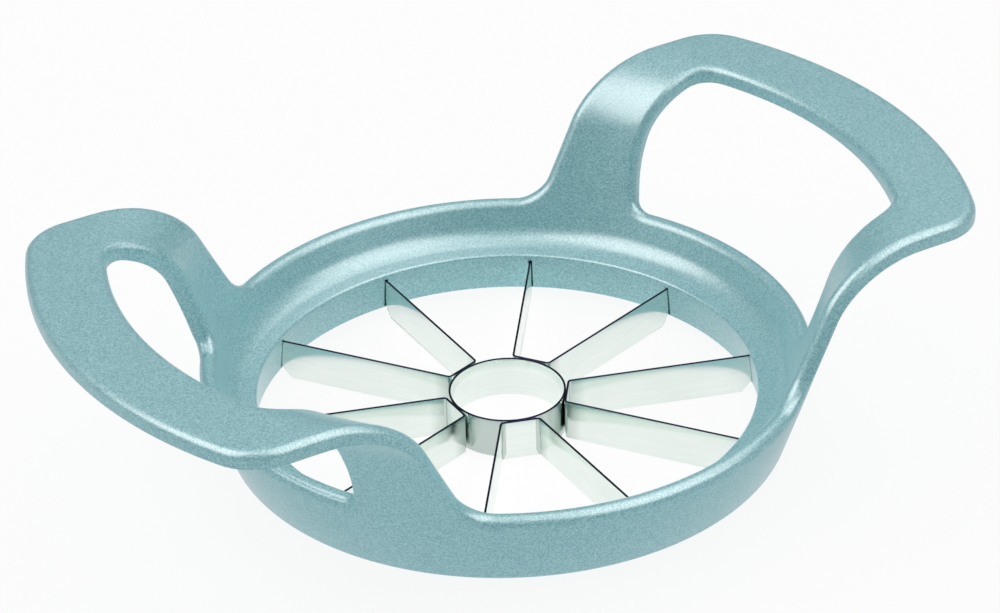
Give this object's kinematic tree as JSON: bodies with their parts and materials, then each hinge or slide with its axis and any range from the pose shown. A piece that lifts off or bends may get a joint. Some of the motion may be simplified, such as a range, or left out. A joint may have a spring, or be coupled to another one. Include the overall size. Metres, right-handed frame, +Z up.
{
  "type": "fruit slicer",
  "caption": "Hand-pressed fruit slicer: cast ring with two raised loop handles, thin radial blades and a core ring in the middle.",
  "frame": {"origin": "centre of the slicer at the level of its cutting edges, which is the bottom centre of its box", "axes": "+X through the middle of one handle, +Y across, +Z up from the cutting edges to the grips"},
  "size_m": [0.1736, 0.114, 0.0438],
  "materials": {
    "cast_metal": "satin metallic coat with a fine grain",
    "blade_steel": "finely brushed stainless strip"
  },
  "bodies": {
    "root": {"cast_frame": "cast_metal", "core_ring": "blade_steel", "blade_strip_1": "blade_steel", "blade_strip_2": "blade_steel", "blade_strip_3": "blade_steel", "blade_strip_4": "blade_steel", "blade_strip_5": "blade_steel"}
  },
  "joints": []
}
